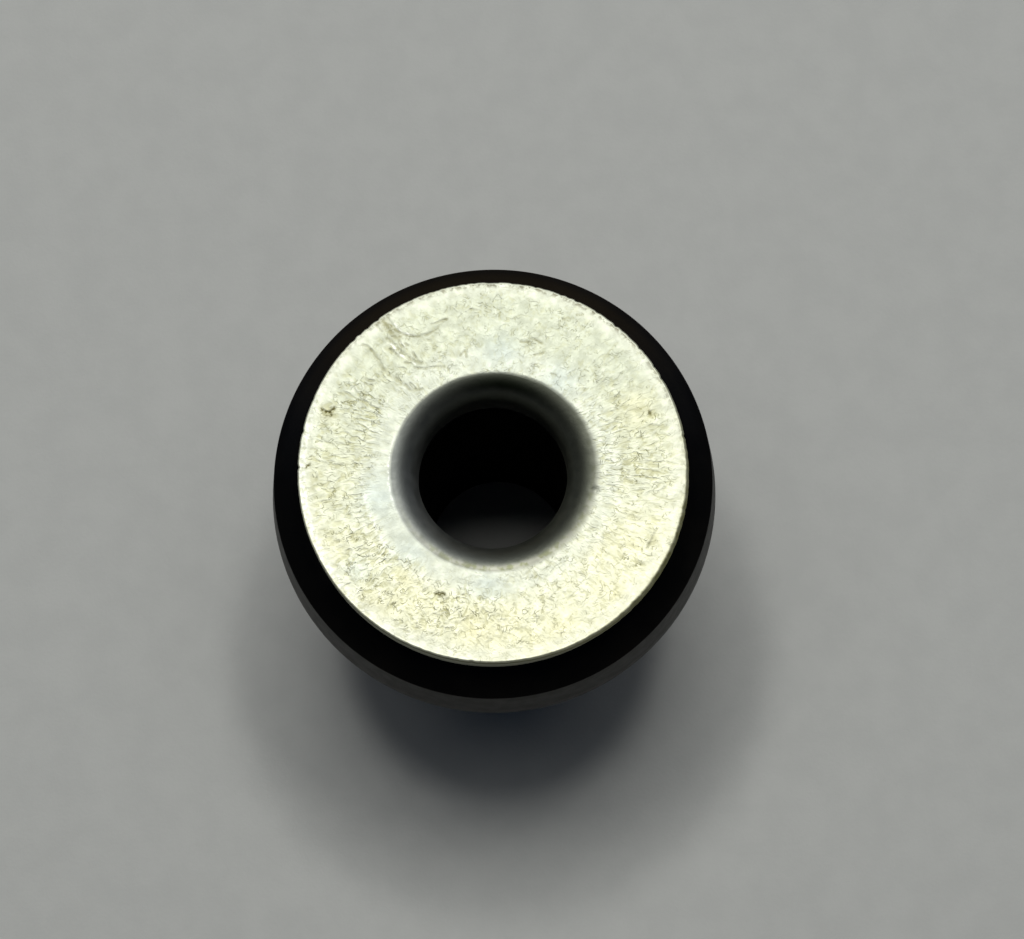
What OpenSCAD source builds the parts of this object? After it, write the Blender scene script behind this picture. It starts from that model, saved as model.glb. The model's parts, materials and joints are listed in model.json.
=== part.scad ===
// Cam cover isolator: a moulded rubber bush with a pressed steel washer bonded to its head.
// A bolt passes down the bore, its head bears on the washer, and the rubber carries the cover.
// The part stands on the end of its neck: z = 0 is that end face and +Z runs up along the bore.

/* [Bolt bore] */
// Diameter of the bore through the washer's collar and the rubber, moulded on one core pin
bore_d = 7; // [6.2:0.1:8]

/* [Flange washer] */
// Outside diameter of the steel washer
washer_d = 18; // [16:0.1:20]
// Sheet thickness of the washer
washer_t = 1.6; // [1.4:0.1:2.4]
// Wall thickness of the collar drawn down round the bore
collar_wall = 1.15; // [0.8:0.05:1.5]
// How far the collar reaches below the underside of the sheet
collar_l = 0.8; // [0.4:0.1:2]
// Radius of the rounded mouth where the sheet turns down into the collar
mouth_r = 1.25; // [0.6:0.05:1.35]
// Radius in the corner between the underside of the sheet and the collar
collar_root_r = 0.2; // [0.1:0.05:0.35]
// Edge break on the washer's upper rim
rim_break_r = 0.1; // [0.05:0.01:0.4]
// Shear rollover on the washer's lower rim
rim_rollover_r = 0.3; // [0.1:0.05:0.6]

/* [Rubber head] */
// Diameter of the crisp edge where the sloping shoulder meets the side wall
head_edge_d = 20.7; // [20.2:0.1:24]
// Drop of the shoulder from the underside of the washer to that edge
shoulder_drop = 0.85; // [0.3:0.05:2]
// Height of the side wall, from that edge down to the seat on the cover
head_wall_h = 2.85; // [1.5:0.05:6]
// Outward flare of the side wall at the seat, on the radius
head_flare = 0.27; // [0.05:0.01:0.6]

/* [Locating neck] */
// Diameter of the neck that fits the hole in the cover
neck_d = 14; // [12:0.1:16.5]
// Length of the neck, from the seat down to its end face
neck_l = 13.7; // [6:0.1:25]
// Fillet between the seat and the neck
neck_root_r = 0.6; // [0.2:0.1:1.2]
// Length of the tapered lead-in at the end of the neck
lead_in_l = 3; // [1:0.1:4.5]
// Narrowing of the lead-in, on the radius
lead_in_depth = 0.7; // [0.2:0.05:1.5]

/* [Hidden] */
// Facets of a full turn when drawn as a mesh
$fn = 96;

bore_r = bore_d / 2;
washer_r = washer_d / 2;
collar_r = bore_r + collar_wall;
head_edge_r = head_edge_d / 2;
neck_r = neck_d / 2;

// Heights, from the end of the neck up
seat_z = neck_l;
head_edge_z = seat_z + head_wall_h;
bond_z = head_edge_z + shoulder_drop;
top_z = bond_z + washer_t;

// What lies outside a round of radius r in the corner of a section: the corner is at [x, y], and
// the section lies on the side that the signs sx and sy point to.
module corner(x, y, sx, sy, r) {
    difference() {
        translate([min(x, x + sx * r), min(y, y + sy * r)])
            square(r);
        translate([x + sx * r, y + sy * r])
            circle(r);
    }
}

// Half section of the washer, with its collar drawn down through the middle
module washer_section() {
    difference() {
        union() {
            translate([bore_r, bond_z])
                square([washer_r - bore_r, washer_t]);
            translate([bore_r, bond_z - collar_l])
                square([collar_wall, collar_l + washer_t]);
            corner(collar_r, bond_z, 1, -1, collar_root_r);
        }
        corner(bore_r, top_z, 1, -1, mouth_r);
        corner(washer_r, top_z, -1, -1, rim_break_r);
        corner(washer_r, bond_z, -1, 1, rim_rollover_r);
    }
}

// Half section of the rubber before the washer is bonded in
module rubber_section() {
    polygon([
        [bore_r, 0],
        [neck_r - lead_in_depth, 0],
        [neck_r, lead_in_l],
        [neck_r, seat_z],
        [head_edge_r + head_flare, seat_z],
        [head_edge_r, head_edge_z],
        [washer_r, bond_z],
        [bore_r, bond_z]
    ]);
    corner(neck_r, seat_z, 1, -1, neck_root_r);
}

// Room that the drawn collar takes up in the rubber, open to the bore
module collar_pocket() {
    translate([bore_r, bond_z - collar_l])
        square([collar_wall, collar_l]);
    corner(collar_r, bond_z, 1, -1, collar_root_r);
}

module flange_washer() {
    color([0.86, 0.86, 0.78])
        rotate_extrude()
            washer_section();
}

module rubber_body() {
    color([0.04, 0.04, 0.04])
        rotate_extrude()
            difference() {
                rubber_section();
                collar_pocket();
            }
}

flange_washer();
rubber_body();
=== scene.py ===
import json
import math

import bpy
import numpy as np
from mathutils import Matrix, Vector, noise


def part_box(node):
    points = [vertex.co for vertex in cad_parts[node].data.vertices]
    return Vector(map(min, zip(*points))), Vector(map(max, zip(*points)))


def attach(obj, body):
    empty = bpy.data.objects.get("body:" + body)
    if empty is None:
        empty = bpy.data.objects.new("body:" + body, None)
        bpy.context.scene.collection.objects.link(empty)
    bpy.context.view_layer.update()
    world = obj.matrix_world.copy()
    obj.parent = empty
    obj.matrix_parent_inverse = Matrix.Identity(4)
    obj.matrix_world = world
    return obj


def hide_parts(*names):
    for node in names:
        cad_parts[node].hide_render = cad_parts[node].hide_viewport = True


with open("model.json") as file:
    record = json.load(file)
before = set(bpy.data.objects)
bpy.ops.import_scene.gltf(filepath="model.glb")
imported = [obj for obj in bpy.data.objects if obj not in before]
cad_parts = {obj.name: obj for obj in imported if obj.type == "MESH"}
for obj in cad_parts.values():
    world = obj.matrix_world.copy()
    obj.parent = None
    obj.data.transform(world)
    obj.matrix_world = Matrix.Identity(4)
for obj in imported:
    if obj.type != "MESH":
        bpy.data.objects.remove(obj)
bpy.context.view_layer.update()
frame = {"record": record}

# Sizes that the frame gives, in metres
MM = 0.001
MOUNTS = {mount["name"]: mount for mount in frame["record"]["mounts"]}
WASHER_LOW, WASHER_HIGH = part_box("flange_washer")
RUBBER_LOW, RUBBER_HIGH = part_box("rubber_body")
TOP_Z = WASHER_HIGH.z
BOND_Z = RUBBER_HIGH.z
COLLAR_END_Z = WASHER_LOW.z
WASHER_R = WASHER_HIGH.x
HEAD_R = min(RUBBER_HIGH.x, RUBBER_HIGH.y, -RUBBER_LOW.x, -RUBBER_LOW.y)
SEAT_Z = MOUNTS["cover_seat"]["pos_m"][2]
BORE_R = MOUNTS["bolt_bore"]["dims"]["r_mm"] * MM
NECK_R = MOUNTS["cover_neck"]["dims"]["r_mm"] * MM

# Sizes of the two sections that the frame doesn't give
MOUTH_R = 1.25 * MM
MOUTH_EDGE_R = BORE_R + MOUTH_R
COLLAR_R = BORE_R + 1.15 * MM
COLLAR_ROOT_R = 0.2 * MM
COLLAR_LIP_R = 0.1 * MM
RIM_BREAK_R = 0.06 * MM
RIM_ROLLOVER_R = 0.15 * MM
HEAD_EDGE_R = 10.35 * MM
HEAD_EDGE_Z = BOND_Z - 0.85 * MM
NECK_ROOT_R = 0.6 * MM
LEAD_IN_L = 3.0 * MM
LEAD_IN_R = NECK_R - 0.7 * MM
RUBBER_EDGE_R = 0.07 * MM

# Fineness of the two meshes
TURN_STEP_DEG = 0.6
FINE_TURN_STEP_DEG = 0.35
SCRAPED_SIDE_DEG = (100, 170)
FACE_STEP = 0.06 * MM
MOUTH_STEP = 0.08 * MM
WALL_STEP = 0.2 * MM
HIDDEN_STEP = 1.0 * MM
ROOT_STEP = 0.24 * MM
RUBBER_TURNS = 512
RUBBER_STEP = 0.55 * MM
FINE_STEP = 0.03 * MM
RIM_STEP = 0.012 * MM
ROUNDING = 1e-9

# The camera, fitted to the circles seen in the photograph
IMAGE_W = 1024
FOCAL_PX = 3210
CAMERA_TILT = math.radians(12.37)
CAMERA_ROLL = math.radians(-3.16)
CAMERA_DISTANCE = 148.85 * MM
CAMERA_OFFSET = (0.925 * MM, 0.013 * MM)

# The light: a ring of soft lamps over the part, open on the near side, a broad lamp to either side, a
# weak one overhead and a dim room. Places are in X and Y from the middle of the washer's face.
LAMP_HEIGHT = 400 * MM
RING_CENTRE = (4 * MM, 135 * MM)
RING_R = 88 * MM
RING_LAMPS = 9
RING_START_DEG = -24.5
RING_STEP_DEG = 28.6
RING_LAMP_SIZE = (55 * MM, 55 * MM)
RING_POWER = 1.33
SIDE_LAMPS = [(-178 * MM, 74 * MM), (186 * MM, 74 * MM)]
SIDE_LAMP_SIZE = (190 * MM, 160 * MM)
SIDE_POWER = 0.28
TOP_LAMP = (0, 56 * MM)
TOP_LAMP_SIZE = (127 * MM, 35 * MM)
TOP_POWER = 0.10
ROOM_DIM = 0.012
ROOM_FAR = 0.02
ROOM_FAR_WALL = 0.15
ROOM_TINT = (0.50, 0.95, 1.90, 1)
FAR_WALL_TINT = (1.25, 1.0, 0.65, 1)
BACKDROP = (0.335, 0.338, 0.318, 1)
FLOOR_SIZE = 0.55
FLOOR_DROP = 0.01 * MM


# Sections and turned meshes

def line(start, end, step):
    """Points from start to end, no further apart than step, without the last one."""
    start, end = np.array(start), np.array(end)
    count = max(1, math.ceil(np.linalg.norm(end - start) / step))
    return start + (end - start) * np.arange(count)[:, None] / count


def arc(centre, radius, start_deg, end_deg, step):
    """Points along an arc about centre, without the last one."""
    sweep = math.radians(end_deg - start_deg)
    count = max(4, math.ceil(abs(sweep) * radius / step))
    angle = math.radians(start_deg) + sweep * np.arange(count) / count
    return np.array(centre) + radius * np.stack([np.cos(angle), np.sin(angle)], 1)


def even_turn(turns):
    return np.arange(turns) * 2 * math.pi / turns


def washer_turn():
    """Angles of the washer's mesh, closer together on the side with the scrape marks."""
    low, high = SCRAPED_SIDE_DEG
    before = np.arange(0, low, TURN_STEP_DEG)
    scraped = np.arange(low, high, FINE_TURN_STEP_DEG)
    after = np.arange(high, 360, TURN_STEP_DEG)
    return np.radians(np.concatenate([before, scraped, after]))


def turn(section, angle):
    """Radius, height and angle of every vertex of a closed section turned about Z."""
    shape = (len(section), len(angle))
    radius = np.broadcast_to(section[:, :1], shape).copy()
    height = np.broadcast_to(section[:, 1:], shape).copy()
    return radius, height, np.broadcast_to(angle, shape)


def turned_mesh(name, radius, height, angle):
    """An object whose rings follow the section and close on themselves both ways."""
    rings, turns = radius.shape
    points = np.stack([radius * np.cos(angle), radius * np.sin(angle), height], 2)
    index = np.arange(rings * turns).reshape(rings, turns)
    ahead = np.roll(index, -1, axis=1)
    above = np.roll(index, -1, axis=0)
    corner = np.roll(above, -1, axis=1)
    faces = np.stack([index, above, corner, ahead], 2).reshape(-1, 4)
    mesh = bpy.data.meshes.new(name)
    mesh.from_pydata(points.reshape(-1, 3), [], faces.tolist())
    mesh.polygons.foreach_set("use_smooth", np.ones(len(faces), bool))
    mesh.update()
    piece = bpy.data.objects.new(name, mesh)
    bpy.context.scene.collection.objects.link(piece)
    return piece


def paint(piece, name, values):
    """Stores one number per vertex for a material to read."""
    attribute = piece.data.attributes.new(name, "FLOAT", "POINT")
    attribute.data.foreach_set("value", np.asarray(values, np.float32).ravel())


def smoothstep(low, high, value):
    t = np.clip((value - low) / (high - low), 0, 1)
    return t * t * (3 - 2 * t)


def bell(distance, width):
    return np.exp(-((distance / width) ** 2))


def path_distance(x, y, path):
    """Distance from each point to a path of straight stretches."""
    best = np.full(x.shape, np.inf)
    for (ax, ay), (bx, by) in zip(path, path[1:]):
        dx, dy = bx - ax, by - ay
        t = np.clip(((x - ax) * dx + (y - ay) * dy) / (dx * dx + dy * dy), 0, 1)
        best = np.minimum(best, np.hypot(x - ax - t * dx, y - ay - t * dy))
    return best


def ring_noise(angle, cycles, seed):
    """Smooth noise round a ring, which meets itself."""
    scale = cycles / (2 * math.pi)
    places = zip(np.cos(angle) * scale, np.sin(angle) * scale)
    return np.array([noise.noise(Vector((u, v, seed))) for u, v in places])


def side(x, y, turn_deg, spread_deg):
    """One towards a direction round the washer, falling to nothing away from it."""
    apart = (np.degrees(np.arctan2(y, x)) - turn_deg + 180) % 360 - 180
    return bell(apart, spread_deg)


# Marks on the washer's face, in millimetres from its centre. A patch is its place and its size.
PRESS_MARK_CENTRE = (-3.15, 7.97)
PRESS_MARK_R = 1.40
PRESS_MARK_START_DEG = (150, 180)
PRESS_MARK_END_DEG = (335, 305)
WEDGE = [(-4.85, 7.42), (-4.45, 7.05), (-4.05, 6.70)]
WEDGE_W = 0.34
SCRAPE = [(-4.60, 6.45), (-4.10, 5.90), (-3.60, 5.50)]
SCRAPE_W = 0.45
DRAG_MARKS = [
    [(-4.58, 6.57), (-4.45, 6.44), (-4.24, 6.24), (-4.04, 6.00), (-3.90, 5.81), (-3.50, 5.49),
     (-3.03, 5.28)],
    [(-5.34, 6.04), (-5.19, 5.80), (-5.03, 5.56), (-4.94, 5.27), (-4.80, 5.06), (-4.60, 4.85)],
    [(-4.60, 4.85), (-4.42, 4.67), (-4.23, 4.63), (-4.07, 4.42), (-3.80, 4.25), (-3.66, 4.06)],
]
DRAG_W = 0.075
FINE_DRAGS = [
    [(-5.76, 6.33), (-5.50, 6.24), (-5.34, 6.04)],
    [(-4.02, 6.42), (-3.96, 6.23), (-3.83, 6.07)],
    [(-3.76, 6.28), (-3.60, 6.17)],
    [(-3.42, 5.83), (-3.26, 5.56)],
    [(-3.80, 5.34), (-3.49, 5.28)],
    [(-3.95, 5.10), (-3.79, 5.04)],
    [(-4.49, 6.04), (-4.31, 5.94), (-4.20, 5.78)],
    [(-3.61, 4.33), (-3.42, 4.12), (-3.30, 3.99), (-3.03, 4.04)],
    [(-3.34, 5.08), (-2.93, 5.00), (-2.57, 5.04), (-1.97, 5.04)],
    [(-2.47, 7.11), (-2.16, 7.21), (-2.04, 7.25), (-1.92, 7.23), (-1.78, 7.30)],
    [(-2.68, 6.37), (-2.52, 6.34)],
    [(-5.71, 4.70), (-5.51, 4.59), (-5.30, 4.55)],
    [(-5.68, 4.45), (-5.70, 4.23), (-5.75, 3.87), (-5.85, 3.30)],
    [(-5.43, 4.40), (-5.35, 4.17)],
    [(-5.06, 7.25), (-4.95, 7.05), (-4.80, 6.92)],
]
# Lines painted bright: painted highlights where raised metal catches the light
RAISED_LINES = [
    [(-4.42, 6.28), (-4.19, 6.02), (-4.00, 5.74), (-3.79, 5.63), (-3.56, 5.46), (-3.33, 5.24)],
    [(-3.94, 6.36), (-3.86, 6.20), (-3.72, 6.10)],
    [(-4.30, 7.31), (-4.07, 7.08), (-3.85, 6.88), (-3.55, 6.72)],
]
SHORT_SCRATCHES = [
    [(1.65, 6.05), (2.05, 6.00)],
    [(2.15, 6.20), (2.40, 6.08), (2.65, 5.90)],
    [(2.25, 5.35), (2.70, 5.45)],
    [(4.35, 7.20), (4.65, 7.20)],
    [(3.65, 7.05), (3.95, 6.95), (4.10, 7.05)],
    [(3.00, 4.42), (3.20, 4.34)],
    [(6.95, -4.10), (7.40, -3.30)],
    [(-1.20, 5.55), (-0.95, 5.75), (-0.90, 5.45)],
    [(-1.95, 7.30), (-1.70, 7.35)],
    [(-0.60, 7.75), (-0.35, 7.70)],
]
PIT_ARMS = [
    [(-7.78, 3.34), (-7.62, 3.22), (-7.44, 3.16), (-7.30, 3.24), (-7.18, 3.36)],
    [(-7.58, 3.06), (-7.44, 3.16), (-7.36, 3.02)],
    [(-2.88, -5.70), (-2.76, -5.66), (-2.70, -5.76), (-2.58, -5.68), (-2.50, -5.74)],
    [(-8.60, 0.62), (-8.46, 0.72)],
    [(7.42, 2.36), (7.50, 2.24)],
]
LINE_W = 0.05
PIT_W = 0.09
BLUE_PATCHES = [
    (0.67, 5.70, 0.9), (3.39, 4.10, 0.8), (-5.4, -1.0, 1.1),
    (-4.2, -3.9, 0.9), (-6.4, -4.3, 0.7), (-0.5, -5.5, 0.8),
]
GOLD_PATCHES = [(-1.0, -7.1, 0.8), (-4.3, -4.7, 0.6), (6.9, 2.6, 0.9), (-7.45, 3.10, 0.40)]
DENSE_PATCHES = [
    (-5.8, 3.5, 0.9), (-5.5, -3.9, 1.0), (-2.2, -6.3, 1.0), (6.6, 0.2, 1.2),
    (3.4, 6.6, 0.9), (0.3, 8.1, 0.8), (-6.2, -5.0, 1.0),
]
MOUTH_NICK = (4.74, -1.25, 0.19)

# Depths of the marks, how much dirt the scratches and scrape hold, and how dark the press mark's edge and
# the wedge beside it are
FACE_SINK = 0.008
BURNISH_DEPTH = 0.006
PRESS_EDGE_W = 0.07
PRESS_EDGE_DEPTH = 0.016
PRESS_RISE = 0.008
DRAG_DEPTH = 0.010
LINE_DEPTH = 0.016
NICK_DEPTH = 0.05
PRESS_EDGE_DARKENING = 0.75
WEDGE_DARKENING = 0.95
SCRAPE_SOIL = 0.16
DRAG_SOIL = 0.62
FINE_SOIL = 0.55
SCRATCH_SOIL = 0.85

# How strongly the painted highlights show
RIDGE_SHINE = 0.5
RIM_SHINE = 0.7
RAISED_SHINE = 0.8

# The smooth ring round the mouth, and what shows on the mouth's own rounding
BURNISHED_R = 5.95
BURNISHED_FADE_IN = 0.55
BURNISHED_FADE_OUT = 0.3
BURNISHED_WAVES = [(5, 0.12), (13, 0.08)]
BURNISHED_DEG = 205
MOUTH_TINT_CENTRE = (0.085, -0.09)
MOUTH_TINT_R = 4.80
MOUTH_TINT_OVAL = 0.05
MOUTH_FADE = 0.09
SPREAD_FADE = 0.16
SPREAD_LIP_DEG = -20
# Side where the throat is painted paler: painted reflection of light from the left
PAINTED_LIGHT_DEG = 195
# Band on the near lip painted paler: painted light where the lip faces the lamps
PAINTED_LIP_DEG = 280
PAINTED_LIP_R = 4.64
PAINTED_LIP_W = 0.16
DARK_MOUTH_DEG = 78
DARK_MOUTH_DROP = 0.16 * MM
DARK_MOUTH_W = 0.18 * MM

# The sheared rim: where it is nicked, ragged, rolled over and smooth, in degrees round the washer
RIM_NICKS_DEG = [66, 61, 54, 47, 37, 30, 26, 7, 165, 176, 261]
RAGGED_RIM_DEG = (124, 133)
RAGGED_SIDE_DEG = 75
ROLLED_RIM_DEG = -28
ROLLED_SPREAD_DEG = 42
SMOOTH_RIM_DEG = 180
RIM_STANDS_OUT = 0.04 * MM
ROLLED_R = 0.13 * MM
NICK_W_DEG = 0.6
NICK_IN = 0.05
RIM_SHORTFALL = 0.003
RIM_WAVE = 0.008
RIM_GRAIN = 0.05
RAGGED_IN = 0.03
RAGGED_GRAIN = 0.05

# Bands near the rim, by their distances from the middle
RIM_FROM_R = 8
WANDER_R = (8.5, 9.0)
SMOOTH_RIM_R = (8.55, 8.75)
DIRTY_EDGE_R = (8.70, 8.92)
WORN_RIM_R = (8.93, 8.98)


# Shape of the washer

def groove(distance, width, depth):
    """A scratch with the metal it threw up on both sides."""
    return depth * (0.4 * bell(distance - 1.9 * width, 0.8 * width) - bell(distance, width))


def press_distance(x, y):
    """Distance outside the round press mark, and the share of its edge that shows."""
    dx, dy = x - PRESS_MARK_CENTRE[0], y - PRESS_MARK_CENTRE[1]
    turn_deg = np.degrees(np.arctan2(dy, dx)) % 360
    shows = smoothstep(*PRESS_MARK_START_DEG, turn_deg) * smoothstep(*PRESS_MARK_END_DEG, turn_deg)
    return np.hypot(dx, dy) - PRESS_MARK_R, shows


def burnish(x, y):
    """How smooth the ring round the mouth is rubbed, most of all on one side."""
    angle = np.arctan2(y, x)
    wave = sum(size * np.sin(count * angle) for count, size in BURNISHED_WAVES)
    start, end = BURNISHED_R - BURNISHED_FADE_IN, BURNISHED_R + BURNISHED_FADE_OUT
    ring = 1 - smoothstep(start, end, np.hypot(x, y) + wave)
    return ring * (0.25 + 0.75 * side(x, y, BURNISHED_DEG, spread_deg=60))


def face_relief(x, y):
    """Height of the washer's face over its flat, in millimetres."""
    relief = -BURNISH_DEPTH * burnish(x, y)
    press, shows = press_distance(x, y)
    edge = groove(np.abs(press), PRESS_EDGE_W, PRESS_EDGE_DEPTH)
    relief += shows * (edge + PRESS_RISE * smoothstep(0.1, -0.2, press))
    for path in DRAG_MARKS:
        relief += groove(path_distance(x, y, path), DRAG_W, DRAG_DEPTH)
    for path in FINE_DRAGS + SHORT_SCRATCHES + PIT_ARMS:
        relief += groove(path_distance(x, y, path), LINE_W, LINE_DEPTH)
    nick_x, nick_y, nick_size = MOUTH_NICK
    relief -= NICK_DEPTH * bell(np.hypot(x - nick_x, y - nick_y), nick_size)
    return np.minimum(relief - FACE_SINK, 0)


def rim_wander(angle):
    """How far the sheared rim falls short of its circle, in millimetres, round the washer."""
    x, y = np.cos(angle), np.sin(angle)
    ragged_side = side(x, y, RAGGED_SIDE_DEG, spread_deg=60)
    rough_side = np.maximum(ragged_side, side(x, y, ROLLED_RIM_DEG, spread_deg=45))
    wander = RIM_WAVE * ring_noise(angle, cycles=60, seed=1.3)
    wander += RIM_GRAIN * (0.4 + 0.6 * rough_side) * ring_noise(angle, cycles=260, seed=4.1)
    degrees = np.degrees(angle)
    for place in RIM_NICKS_DEG:
        wander -= NICK_IN * bell(degrees - place, NICK_W_DEG)
    low, high = RAGGED_RIM_DEG
    ragged = smoothstep(low - 2, low, degrees) * smoothstep(high + 2, high, degrees)
    wander -= ragged * (RAGGED_IN + RAGGED_GRAIN * ring_noise(angle, cycles=300, seed=7.7))
    return np.minimum(wander - RIM_SHORTFALL, 0)


def roll_rim(radius, height, rolled):
    """Rounds the upper edge further where it is rolled, and lets the wall below it lean out."""
    outer_r = WASHER_R + RIM_STANDS_OUT + ROLLED_R * rolled
    round_r = RIM_BREAK_R + RIM_STANDS_OUT + ROLLED_R * rolled
    flat_end = WASHER_R - RIM_BREAK_R
    wall_top, wall_low = TOP_Z - RIM_BREAK_R, BOND_Z + RIM_ROLLOVER_R
    out = np.clip((radius - flat_end) / RIM_BREAK_R, 0, 1)
    up = np.clip((height - wall_top) / RIM_BREAK_R, 0, 1)
    down = np.clip((wall_top - height) / (wall_top - wall_low), 0, 1)
    on_edge = (radius > flat_end) & (height > wall_top)
    on_wall = (radius > flat_end) & (height <= wall_top) & (height >= wall_low)
    leaning_r = WASHER_R + (outer_r - WASHER_R) * smoothstep(1.0, 0.3, down)
    new_radius = np.where(on_edge, outer_r - round_r * (1 - out), radius)
    new_radius = np.where(on_wall, leaning_r, new_radius)
    new_height = np.where(on_edge, TOP_Z - round_r * (1 - up), height)
    new_height = np.where(on_wall, TOP_Z - round_r - down * (TOP_Z - round_r - wall_low), new_height)
    return new_radius, new_height


def washer_section():
    collar_end = COLLAR_END_Z + COLLAR_LIP_R
    lower_r, lower_z = WASHER_R - RIM_ROLLOVER_R, BOND_Z + RIM_ROLLOVER_R
    root_r, root_z = COLLAR_R + COLLAR_ROOT_R, BOND_Z - COLLAR_ROOT_R
    return np.concatenate([
        arc((MOUTH_EDGE_R, TOP_Z - MOUTH_R), MOUTH_R, 180, 90, MOUTH_STEP),
        line((MOUTH_EDGE_R, TOP_Z), (WASHER_R - RIM_BREAK_R, TOP_Z), FACE_STEP),
        arc((WASHER_R - RIM_BREAK_R, TOP_Z - RIM_BREAK_R), RIM_BREAK_R, 90, 0, RIM_STEP),
        line((WASHER_R, TOP_Z - RIM_BREAK_R), (WASHER_R, lower_z), WALL_STEP),
        arc((lower_r, lower_z), RIM_ROLLOVER_R, 0, -90, FACE_STEP),
        line((lower_r, BOND_Z), (root_r, BOND_Z), HIDDEN_STEP),
        arc((root_r, root_z), COLLAR_ROOT_R, 90, 180, FACE_STEP),
        line((COLLAR_R, root_z), (COLLAR_R, COLLAR_END_Z), HIDDEN_STEP),
        line((COLLAR_R, COLLAR_END_Z), (BORE_R + COLLAR_LIP_R, COLLAR_END_Z), HIDDEN_STEP),
        arc((BORE_R + COLLAR_LIP_R, collar_end), COLLAR_LIP_R, 270, 180, FINE_STEP),
        line((BORE_R, collar_end), (BORE_R, TOP_Z - MOUTH_R), WALL_STEP),
    ])


# What is painted on the washer's vertices for its material

def soil(x, y):
    """How dark each place is: dirt held in scratches and scraped metal, and a darker edge on one side of
    the press mark and a darker wedge beside it.
    """
    press, shows = press_distance(x, y)
    wedge = smoothstep(WEDGE_W, 0.05, path_distance(x, y, WEDGE))
    # Darker along one side of the press mark's edge and in a wedge beside it
    total = PRESS_EDGE_DARKENING * shows * bell(press, LINE_W)
    total += WEDGE_DARKENING * wedge * smoothstep(-0.02, 0.06, press)
    total += SCRAPE_SOIL * smoothstep(SCRAPE_W, 0.1, path_distance(x, y, SCRAPE))
    for path in DRAG_MARKS:
        total += DRAG_SOIL * bell(path_distance(x, y, path), DRAG_W)
    for path in FINE_DRAGS:
        total += FINE_SOIL * bell(path_distance(x, y, path), LINE_W)
    for path in SHORT_SCRATCHES:
        total += SCRATCH_SOIL * bell(path_distance(x, y, path), LINE_W)
    return np.minimum(total, 1)


def mouth_reach(x, y):
    return np.hypot(x - MOUTH_TINT_CENTRE[0], y - MOUTH_TINT_CENTRE[1])


def thin_highlights(x, y):
    """Painted highlights: bright lines on the ridge round the rubbed ring, the mouth's lip, the smooth rim
    and raised metal, where these catch the light.
    """
    reach = np.hypot(x, y)
    ridge = RIDGE_SHINE * bell(reach - BURNISHED_R - 0.1, 2 * LINE_W)
    ridge = ridge * side(x, y, BURNISHED_DEG, spread_deg=30)
    lip = bell(mouth_reach(x, y) - MOUTH_TINT_R - 0.10, LINE_W)
    lip = lip * side(x, y, SMOOTH_RIM_DEG, spread_deg=22)
    rim = RIM_SHINE * smoothstep(*SMOOTH_RIM_R, reach)
    rim = rim * side(x, y, SMOOTH_RIM_DEG + 10, spread_deg=40)
    total = np.maximum(np.maximum(ridge, lip), rim)
    for path in RAISED_LINES:
        total = np.maximum(total, RAISED_SHINE * bell(path_distance(x, y, path), LINE_W))
    return total


def rust(x, y):
    total = np.zeros(x.shape)
    for path in PIT_ARMS:
        total = np.maximum(total, bell(path_distance(x, y, path), PIT_W))
    return total


def spots(x, y, patches):
    total = np.zeros(x.shape)
    for place_x, place_y, size in patches:
        total = np.maximum(total, bell(np.hypot(x - place_x, y - place_y), size))
    return total


def paint_washer(piece, x, y, height, face, rolled):
    """Paints the marks on the face, then the mouth, then the rim."""
    reach = np.hypot(x, y)
    paint(piece, "rust", rust(x, y))
    paint(piece, "blue", spots(x, y, BLUE_PATCHES))
    paint(piece, "gold", spots(x, y, GOLD_PATCHES))
    paint(piece, "dense", spots(x, y, DENSE_PATCHES))
    paint(piece, "soil", soil(x, y) * face)
    # Painted highlights: bright lines where edges and ridges catch the light
    paint(piece, "bright", thin_highlights(x, y) * face)
    paint(piece, "burnish", burnish(x, y))

    mouth_r = mouth_reach(x, y) - MOUTH_TINT_OVAL * np.cos(2 * np.arctan2(y, x))
    fade = MOUTH_FADE + SPREAD_FADE * side(x, y, SPREAD_LIP_DEG, spread_deg=50)
    dark = bell(TOP_Z - height - DARK_MOUTH_DROP, DARK_MOUTH_W)
    paint(piece, "mouth", smoothstep(MOUTH_TINT_R + fade, MOUTH_TINT_R - fade, mouth_r))
    paint(piece, "shaded", side(x, y, DARK_MOUTH_DEG, spread_deg=32) * dark)
    # Painted reflection: the throat paler towards the left
    paint(piece, "wiped", side(x, y, PAINTED_LIGHT_DEG, spread_deg=65))
    # Painted light: a paler band on the near lip
    painted_lip_side = side(x, y, PAINTED_LIP_DEG, spread_deg=60)
    paint(piece, "lip", bell(mouth_r - PAINTED_LIP_R, PAINTED_LIP_W) * painted_lip_side)

    below_top = smoothstep(TOP_Z - 0.2 * RIM_BREAK_R, TOP_Z - RIM_BREAK_R, height)
    paint(piece, "olive", smoothstep(*WORN_RIM_R, reach) * rolled)
    paint(piece, "rim", below_top * (reach > RIM_FROM_R))
    dirty_side = side(x, y, RAGGED_SIDE_DEG, spread_deg=70)
    paint(piece, "edge", smoothstep(*DIRTY_EDGE_R, reach) * face * dirty_side)


# The two pieces

def make_washer():
    radius, height, angle = turn(washer_section(), washer_turn())
    reach = radius / MM
    x, y = reach * np.cos(angle), reach * np.sin(angle)
    face = (height > TOP_Z - 0.6 * MOUTH_R) & (radius < WASHER_R - RIM_BREAK_R + ROUNDING)
    outer = smoothstep(*WANDER_R, reach) * smoothstep(BOND_Z, TOP_Z, height)
    rolled = side(x, y, ROLLED_RIM_DEG, ROLLED_SPREAD_DEG)
    new_radius, new_height = roll_rim(radius, height, rolled)
    new_height += face * face_relief(x, y) * MM
    new_radius += outer * rim_wander(angle[0]) * MM
    piece = turned_mesh("flange_washer_dressed", new_radius, new_height, angle)
    paint_washer(piece, x, y, height, face, rolled)
    return piece


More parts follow.
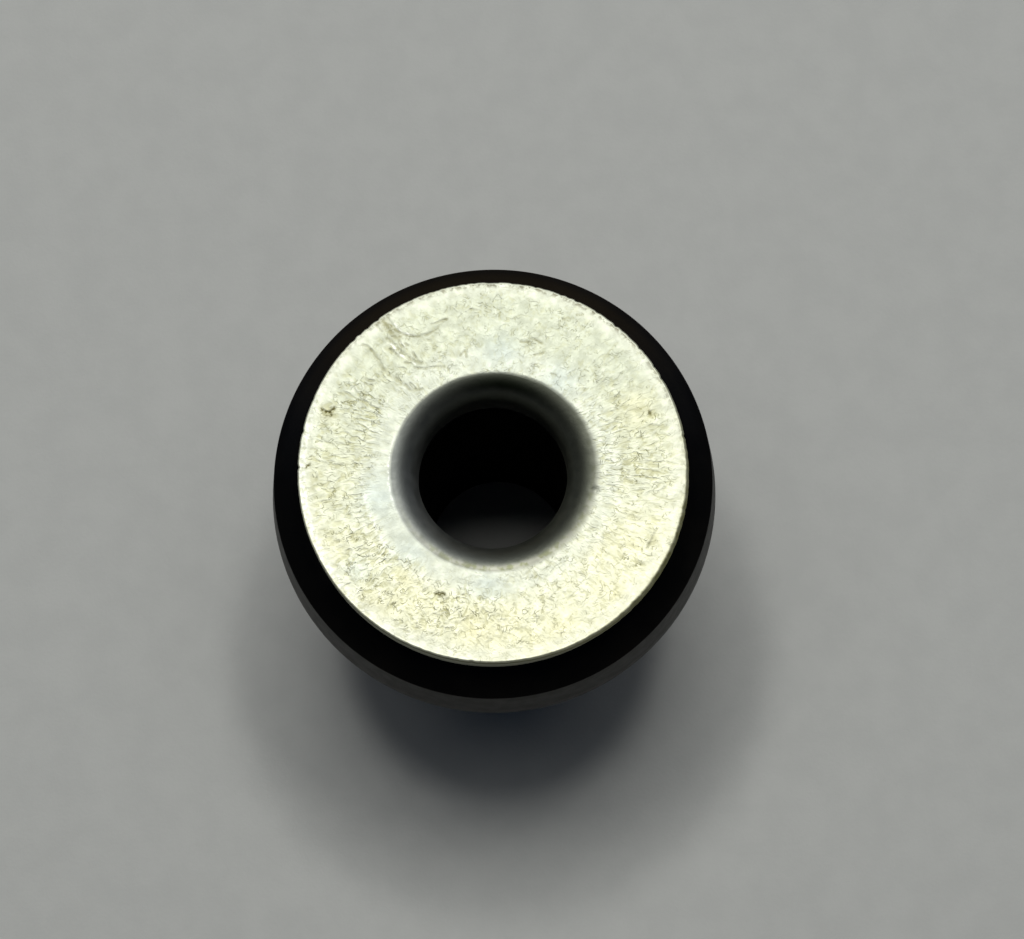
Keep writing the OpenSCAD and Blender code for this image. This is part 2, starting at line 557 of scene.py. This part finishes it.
def rubber_section():
    edge = RUBBER_EDGE_R
    low_z = RUBBER_LOW.z
    root_r, root_z = NECK_R + NECK_ROOT_R, SEAT_Z - NECK_ROOT_R
    pocket_r, pocket_z = COLLAR_R + COLLAR_ROOT_R, BOND_Z - COLLAR_ROOT_R
    return np.concatenate([
        line((BORE_R, low_z), (LEAD_IN_R, low_z), RUBBER_STEP),
        line((LEAD_IN_R, low_z), (NECK_R, LEAD_IN_L), RUBBER_STEP),
        line((NECK_R, LEAD_IN_L), (NECK_R, root_z), RUBBER_STEP),
        arc((root_r, root_z), NECK_ROOT_R, 180, 90, ROOT_STEP),
        line((root_r, SEAT_Z), (HEAD_R - edge, SEAT_Z), RUBBER_STEP),
        arc((HEAD_R - edge, SEAT_Z + edge), edge, -90, 5, FINE_STEP),
        line((HEAD_R, SEAT_Z + edge), (HEAD_EDGE_R, HEAD_EDGE_Z - edge), RUBBER_STEP),
        arc((HEAD_EDGE_R - edge, HEAD_EDGE_Z - edge), edge, 5, 58, FINE_STEP),
        line((HEAD_EDGE_R - edge, HEAD_EDGE_Z), (WASHER_R, BOND_Z), RUBBER_STEP),
        line((WASHER_R, BOND_Z), (pocket_r, BOND_Z), HIDDEN_STEP),
        arc((pocket_r, pocket_z), COLLAR_ROOT_R, 90, 180, FACE_STEP),
        line((COLLAR_R, pocket_z), (COLLAR_R, COLLAR_END_Z), HIDDEN_STEP),
        line((COLLAR_R, COLLAR_END_Z), (BORE_R, COLLAR_END_Z), HIDDEN_STEP),
        line((BORE_R, COLLAR_END_Z), (BORE_R, low_z), RUBBER_STEP),
    ])


def make_rubber():
    radius, height, angle = turn(rubber_section(), even_turn(RUBBER_TURNS))
    piece = turned_mesh("rubber_body_dressed", radius, height, angle)
    bore = radius < BORE_R + RUBBER_EDGE_R
    sides = height < HEAD_EDGE_Z - 0.5 * RUBBER_EDGE_R
    paint(piece, "dull", np.where(bore, 1.0, SIDE_DULLNESS * sides))
    return piece


# Materials

# Strokes in the plate: how many per millimetre round the washer, and how soon they end outwards
MEAN_FACE_R = 7.0
STROKE_FINENESS = 4.6
STROKE_LENGTH_RATE = 2.2
FOLD_FINENESS = 3.1
WORM_FINENESS = 2.4
WORM_W = 0.045
CRINKLE_DEPTH = 0.045 * MM
RIM_SHADE_Z = TOP_Z / MM - 0.55
DEEP_MOUTH_Z = TOP_Z / MM - 0.12

# Colours of the plate on the face
WARM_PLATE = (0.842, 0.822, 0.572, 1)
PALE_PLATE = (0.812, 0.812, 0.621, 1)
FAR_PLATE = (0.592, 0.618, 0.482, 1)
LEFT_PLATE = (0.630, 0.649, 0.503, 1)
INNER_PLATE = (0.689, 0.714, 0.611, 1)
RUBBED_PLATE = (0.644, 0.670, 0.562, 1)
OUTER_PLATE = (0.788, 0.798, 0.689, 1)
BLUE_STAIN = (0.492, 0.590, 0.611, 1)
GOLD_STAIN = (0.788, 0.728, 0.395, 1)
MOTTLE_SHADE = (0.512, 0.531, 0.413, 1)
VALLEY = (0.454, 0.444, 0.226, 1)
RIDGE = (0.867, 0.877, 0.749, 1)
WORM = (0.395, 0.384, 0.158, 1)
DIRT_AND_DARKENING = (0.333, 0.329, 0.197, 1)
# Painted highlight colour for the bright lines
PAINTED_HIGHLIGHT = (0.954, 0.966, 0.886, 1)
RUST = (0.115, 0.104, 0.022, 1)

# Colours in the mouth and on the rim
THROAT = (0.068, 0.072, 0.055, 1)
# Throat colours with painted reflection, used on the left side
PAINTED_LIT_THROAT = (0.174, 0.184, 0.169, 1)
DEEP_THROAT = (0.153, 0.160, 0.122, 1)
PAINTED_LIT_DEEP_THROAT = (0.282, 0.292, 0.272, 1)
# Colours of the painted light band on the near lip
DARK_LIP = (0.198, 0.207, 0.122, 1)
PALE_LIP = (0.292, 0.292, 0.235, 1)
MOUTH_SHADE = (0.015, 0.019, 0.011, 1)
DIRTY_EDGE = (0.257, 0.246, 0.167, 1)
LOWER_RIM = (0.546, 0.546, 0.437, 1)
UPPER_RIM = (0.208, 0.205, 0.131, 1)
WORN_RIM = (0.295, 0.290, 0.126, 1)

# Rubber and paper
DARK_RUBBER = (0.0020, 0.0018, 0.0015, 1)
PALE_RUBBER = (0.0034, 0.0030, 0.0024, 1)
RUBBER_GLINT = (1.0, 0.92, 0.78, 1)
RUBBER_GLOSS = 0.27
DULL_GLOSS_LOSS = -0.24
DULL_ROUGHNESS = 0.52
SIDE_DULLNESS = 0.6
RUBBER_GRAIN = 0.004 * MM
DARK_PAPER = (0.425, 0.430, 0.402, 1)
PALE_PAPER = (0.445, 0.450, 0.420, 1)
PAPER_TOOTH = 0.01 * MM


class Shader:
    """Builds the nodes of one material or world, with short words for those it needs."""

    def __init__(self, owner):
        self.owner = owner
        owner.use_nodes = True
        self.nodes = owner.node_tree.nodes
        self.links = owner.node_tree.links
        self.surface = self.nodes.get("Principled BSDF")

    def set(self, socket, value):
        if isinstance(value, bpy.types.NodeSocket):
            self.links.new(value, socket)
        else:
            socket.default_value = value

    def node(self, kind, inputs, **options):
        made = self.nodes.new(kind)
        for option, value in options.items():
            setattr(made, option, value)
        for place, value in inputs.items():
            self.set(made.inputs[place], value)
        return made

    def math(self, operation, *values):
        return self.node("ShaderNodeMath", dict(enumerate(values)), operation=operation).outputs[0]

    def times(self, first, second):
        return self.math("MULTIPLY", first, second)

    def times_plus(self, first, second, third):
        return self.math("MULTIPLY_ADD", first, second, third)

    def ramp(self, value, low, high, to_low=0.0, to_high=1.0):
        """Maps value from low to high smoothly onto to_low to to_high."""
        inputs = {0: value, 1: low, 2: high, 3: to_low, 4: to_high}
        return self.node("ShaderNodeMapRange", inputs, interpolation_type="SMOOTHSTEP").outputs[0]

    def mix(self, factor, first, second):
        inputs = {0: factor, 6: first, 7: second}
        return self.node("ShaderNodeMix", inputs, data_type="RGBA").outputs[2]

    def place(self, scale):
        """The point on the object, in millimetres times scale along X, Y and Z."""
        spot = self.node("ShaderNodeTexCoord", {}).outputs["Object"]
        factor = tuple(s / MM for s in scale)
        return self.node("ShaderNodeVectorMath", {0: spot, 1: factor}, operation="MULTIPLY").outputs[0]

    def noise_at(self, vector, detail=2.0, roughness=0.5, distortion=0.0):
        inputs = {"Vector": vector, "Scale": 1.0, "Detail": detail,
                  "Roughness": roughness, "Distortion": distortion}
        return self.node("ShaderNodeTexNoise", inputs).outputs[0]

    def noise(self, scale, detail=2.0, roughness=0.5, distortion=0.0):
        return self.noise_at(self.place(scale), detail, roughness, distortion)

    def flat_noise(self, fineness, detail=2.0, roughness=0.5, distortion=0.0):
        """Noise that hardly changes with height, for the washer's face."""
        return self.noise((fineness, fineness, 1.0), detail, roughness, distortion)

    def even_noise(self, fineness, detail=2.0, roughness=0.5):
        return self.noise((fineness, fineness, fineness), detail, roughness)

    def attribute(self, name):
        return self.node("ShaderNodeAttribute", {}, attribute_name=name).outputs["Fac"]

    def wrinkles(self, field, width):
        """Thin lines where a noise field crosses its middle."""
        off = self.math("ABSOLUTE", self.math("SUBTRACT", field, 0.5))
        return self.ramp(off, width, 0.0)

    def bump(self, height, distance):
        inputs = {"Height": height, "Distance": distance, "Strength": 1.0}
        return self.node("ShaderNodeBump", inputs).outputs[0]


class Spot:
    """Where a point of the washer lies, in millimetres, and which way it is from the middle."""

    def __init__(self, s):
        split = s.node("ShaderNodeSeparateXYZ", {0: s.place((1, 1, 1))})
        self.x, self.y, self.z = split.outputs[0], split.outputs[1], split.outputs[2]
        self.reach = s.math("SQRT", s.times_plus(self.x, self.x, s.times(self.y, self.y)))
        self.away_x = s.math("DIVIDE", self.x, self.reach)
        self.away_y = s.math("DIVIDE", self.y, self.reach)


def crinkle_field(s, spot):
    """Radial strokes on the left and right of the face, turning into folds at its near and far side."""
    around = STROKE_FINENESS * MEAN_FACE_R
    radial = s.node("ShaderNodeCombineXYZ", {0: s.times(spot.away_x, around),
                                             1: s.times(spot.away_y, around),
                                             2: s.times(spot.reach, STROKE_LENGTH_RATE)}).outputs[0]
    strokes = s.noise_at(radial, 1.0, 0.5, 0.8)
    folds = s.flat_noise(FOLD_FINENESS, 1.0, 0.5, 1.3)
    share = s.ramp(s.math("ABSOLUTE", spot.away_x), 0.45, 0.9, 0.35, 0.8)
    rest = s.math("SUBTRACT", 1.0, share)
    return s.math("ADD", s.times(strokes, share), s.times(folds, rest))


def crinkle_density(s, spot):
    """How strong the crinkle is: patchy, and weaker far off, at the rim, in the mouth and where rubbed."""
    density = s.ramp(s.flat_noise(0.8, 3.0), 0.32, 0.66, 0.45, 1.0)
    density = s.times_plus(s.attribute("dense"), 0.40, density)
    density = s.times(density, s.ramp(s.attribute("burnish"), 0.0, 1.0, 1.0, 0.22))
    density = s.times(density, s.ramp(spot.y, 2.0, 6.0, 1.0, 0.66))
    density = s.times(density, s.ramp(spot.x, -6.0, 4.0, 1.10, 0.97))
    density = s.times(density, s.ramp(spot.reach, 8.1, 8.7, 1.0, 0.5))
    return s.times(density, s.ramp(s.attribute("mouth"), 0.0, 1.0, 1.0, 0.15))


def broken_worms(s, density):
    """Worm-like lines, broken into short pieces."""
    worms = s.wrinkles(s.flat_noise(WORM_FINENESS, 1.0, 0.5, 1.2), WORM_W)
    worms = s.times(worms, s.ramp(s.noise((2.6, 2.6, 3.0), 1.0), 0.48, 0.60))
    return s.times(worms, density)


def plain_plate(s, spot, mottle):
    """The plate's tone over the face, before its crinkle and marks."""
    plate = s.mix(s.ramp(s.flat_noise(0.28), 0.35, 0.65), WARM_PLATE, PALE_PLATE)
    plate = s.mix(s.ramp(spot.y, -5.0, 5.0), plate, FAR_PLATE)
    plate = s.mix(s.ramp(spot.x, 1.0, -6.0, 0.0, 0.24), plate, LEFT_PLATE)
    plate = s.mix(s.ramp(spot.reach, 6.3, 5.5, 0.0, 0.5), plate, INNER_PLATE)
    plate = s.mix(s.attribute("burnish"), plate, RUBBED_PLATE)
    plate = s.mix(s.ramp(spot.reach, 8.1, 8.7, 0.0, 0.4), plate, OUTER_PLATE)
    plate = s.mix(s.times(s.attribute("blue"), 0.30), plate, BLUE_STAIN)
    plate = s.mix(s.times(s.attribute("gold"), 0.30), plate, GOLD_STAIN)
    return s.mix(s.ramp(mottle, 0.35, 0.65, 0.22, 0.0), plate, MOTTLE_SHADE)


def marked_plate(s, plate, field, density, worms):
    """The plate with its crinkle, scratches, darker press-mark edge, painted highlights and dirty edge."""
    valleys = s.times(s.ramp(field, 0.51, 0.36), density)
    ridges = s.times(s.ramp(field, 0.54, 0.66), density)
    plate = s.mix(s.times(valleys, 0.53), plate, VALLEY)
    plate = s.mix(s.times(ridges, 0.30), plate, RIDGE)
    plate = s.mix(s.times(worms, 0.46), plate, WORM)
    patchy = s.ramp(s.flat_noise(3.6, 3.0), 0.36, 0.58, 0.35, 1.1)
    plate = s.mix(s.times(s.attribute("soil"), patchy), plate, DIRT_AND_DARKENING)
    # Painted highlights, broken into flecks
    flecks = s.ramp(s.flat_noise(5.0), 0.40, 0.62)
    plate = s.mix(s.times(s.attribute("bright"), flecks), plate, PAINTED_HIGHLIGHT)
    crumbs = s.ramp(s.flat_noise(4.0), 0.43, 0.58, 0.0, 0.9)
    return s.mix(s.times(s.attribute("edge"), crumbs), plate, DIRTY_EDGE)


def mouth_colour(s, spot):
    """The rounded mouth: dark, with painted light making it paler on its left side and in a band on its
    near lip, and a shaded far side.
    """
    wiped = s.attribute("wiped")
    throat = s.mix(wiped, THROAT, PAINTED_LIT_THROAT)
    deep = s.mix(wiped, DEEP_THROAT, PAINTED_LIT_DEEP_THROAT)
    depth = s.ramp(spot.z, DEEP_MOUTH_Z, DEEP_MOUTH_Z - 0.35)
    throat = s.mix(s.times(depth, s.ramp(spot.away_y, -0.5, -0.95, 1.0, 0.45)), throat, deep)
    lip = s.mix(s.ramp(s.flat_noise(2.6), 0.38, 0.56), DARK_LIP, PALE_LIP)
    throat = s.mix(s.attribute("lip"), throat, lip)
    return s.mix(s.attribute("shaded"), throat, MOUTH_SHADE)


def zinc():
    """Zinc plate on pressed steel: pale yellow-green, crinkled, smoother and bluer round the bore."""
    s = Shader(bpy.data.materials.new("zinc_plate"))
    spot = Spot(s)
    mouth = s.attribute("mouth")
    mottle = s.flat_noise(1.5, 2.5, 0.55)
    field, density = crinkle_field(s, spot), crinkle_density(s, spot)
    worms = broken_worms(s, density)

    plate = marked_plate(s, plain_plate(s, spot, mottle), field, density, worms)
    plate = s.mix(mouth, plate, mouth_colour(s, spot))
    sheared = s.mix(s.ramp(spot.z, RIM_SHADE_Z, RIM_SHADE_Z + 0.3), LOWER_RIM, UPPER_RIM)
    plate = s.mix(s.attribute("rim"), plate, sheared)
    wear = s.ramp(s.even_noise(3.0), 0.35, 0.60, 0.70, 1.0)
    plate = s.mix(s.times(s.attribute("olive"), wear), plate, WORN_RIM)
    blots = s.ramp(s.flat_noise(7.0), 0.36, 0.52, 0.25, 1.0)
    plate = s.mix(s.times(s.attribute("rust"), blots), plate, RUST)
    s.set(s.surface.inputs["Base Color"], plate)
    s.surface.inputs["Metallic"].default_value = 1.0

    rough = s.ramp(s.even_noise(2.2, 3.0), 0.3, 0.7, 0.60, 0.66)
    s.set(s.surface.inputs["Roughness"], s.times_plus(mouth, -0.10, rough))

    height = s.times_plus(s.even_noise(9.0), 0.08, s.times(mottle, 0.25))
    height = s.times_plus(worms, -0.20, height)
    height = s.times_plus(s.times(field, density), 1.25, height)
    s.set(s.surface.inputs["Normal"], s.bump(height, CRINKLE_DEPTH))
    return s.owner


def rubber():
    """Black moulded rubber: glossy on its shoulder, duller on its sides and dull in its bore."""
    s = Shader(bpy.data.materials.new("moulded_rubber"))
    dull = s.attribute("dull")
    bloom = s.ramp(s.even_noise(0.5, 3.0), 0.35, 0.75)
    s.set(s.surface.inputs["Base Color"], s.mix(bloom, DARK_RUBBER, PALE_RUBBER))
    rough = s.ramp(s.even_noise(1.6, 3.0), 0.3, 0.7, 0.15, 0.21)
    s.set(s.surface.inputs["Roughness"], s.times_plus(dull, DULL_ROUGHNESS, rough))
    s.set(s.surface.inputs["Specular IOR Level"], s.times_plus(dull, DULL_GLOSS_LOSS, RUBBER_GLOSS))
    s.surface.inputs["Specular Tint"].default_value = RUBBER_GLINT
    s.set(s.surface.inputs["Normal"], s.bump(s.even_noise(7.0, 3.0), RUBBER_GRAIN))
    return s.owner


def paper():
    """Pale paper with a soft mottle and a fine tooth."""
    s = Shader(bpy.data.materials.new("pale_floor"))
    mottle = s.ramp(s.even_noise(0.5, 4.0, 0.6), 0.3, 0.7)
    s.set(s.surface.inputs["Base Color"], s.mix(mottle, DARK_PAPER, PALE_PAPER))
    s.surface.inputs["Roughness"].default_value = 0.9
    s.surface.inputs["Specular IOR Level"].default_value = 0.2
    s.set(s.surface.inputs["Normal"], s.bump(s.even_noise(5.0, 3.0), PAPER_TOOTH))
    return s.owner


# Stage, light and camera

def make_floor(material):
    half = FLOOR_SIZE / 2
    z = RUBBER_LOW.z - FLOOR_DROP
    corners = [(-half, -half, z), (half, -half, z), (half, half, z), (-half, half, z)]
    mesh = bpy.data.meshes.new("floor")
    mesh.from_pydata(corners, [], [(0, 1, 2, 3)])
    mesh.materials.append(material)
    floor = bpy.data.objects.new("floor", mesh)
    bpy.context.scene.collection.objects.link(floor)


def make_lamp(name, place, size, power):
    """An oval soft lamp over a place in X and Y, turned to face the part."""
    data = bpy.data.lights.new(name, "AREA")
    data.shape = "ELLIPSE"
    data.size, data.size_y = size
    data.energy = power
    lamp = bpy.data.objects.new(name, data)
    away = Vector((*place, LAMP_HEIGHT))
    lamp.rotation_euler = away.to_track_quat("Z", "Y").to_euler()
    lamp.location = Vector((0, 0, TOP_Z)) + away
    bpy.context.scene.collection.objects.link(lamp)


def make_lamps():
    for number in range(RING_LAMPS):
        angle = math.radians(RING_START_DEG + number * RING_STEP_DEG)
        place = Vector(RING_CENTRE) + RING_R * Vector((math.cos(angle), math.sin(angle)))
        make_lamp(f"ring_lamp_{number}", place, RING_LAMP_SIZE, RING_POWER / RING_LAMPS)
    for number, place in enumerate(SIDE_LAMPS):
        make_lamp(f"side_lamp_{number}", place, SIDE_LAMP_SIZE, SIDE_POWER / len(SIDE_LAMPS))
    make_lamp("top_lamp", TOP_LAMP, TOP_LAMP_SIZE, TOP_POWER)


def make_room():
    """A dim room, paler low down on its far side, with a pale backdrop for the camera."""
    world = bpy.data.worlds.new("room")
    bpy.context.scene.world = world
    s = Shader(world)
    direction = s.node("ShaderNodeTexCoord", {}).outputs["Generated"]
    split = s.node("ShaderNodeSeparateXYZ", {0: direction})
    along_y, along_z = split.outputs[1], split.outputs[2]
    far = s.ramp(along_y, -0.5, 0.9)
    wall = s.times(s.ramp(along_y, 0.2, 0.9), s.ramp(along_z, 0.60, 0.10))
    glow = s.times_plus(wall, ROOM_FAR_WALL, s.times_plus(far, ROOM_FAR, ROOM_DIM))
    tint = s.mix(wall, ROOM_TINT, FAR_WALL_TINT)
    seen = s.node("ShaderNodeLightPath", {}).outputs["Is Camera Ray"]
    background = s.nodes["Background"]
    s.set(background.inputs["Strength"], s.math("MAXIMUM", glow, seen))
    s.set(background.inputs["Color"], s.mix(seen, tint, BACKDROP))


def make_camera():
    data = bpy.data.cameras.new("camera")
    data.lens = FOCAL_PX * data.sensor_width / IMAGE_W
    data.clip_start = 0.1 * CAMERA_DISTANCE
    camera = bpy.data.objects.new("camera", data)
    aim = Matrix.Rotation(CAMERA_TILT, 4, "X") @ Matrix.Rotation(CAMERA_ROLL, 4, "Z")
    away = Matrix.Translation((*CAMERA_OFFSET, CAMERA_DISTANCE))
    camera.matrix_world = Matrix.Translation((0, 0, TOP_Z)) @ aim @ away
    bpy.context.scene.collection.objects.link(camera)
    bpy.context.scene.camera = camera


def dress(piece, node, material):
    piece.data.materials.append(material)
    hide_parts(node)
    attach(piece, "root")


dress(make_washer(), "flange_washer", zinc())
dress(make_rubber(), "rubber_body", rubber())
make_floor(paper())
make_lamps()
make_room()
make_camera()
bpy.context.scene.view_settings.view_transform = "Standard"
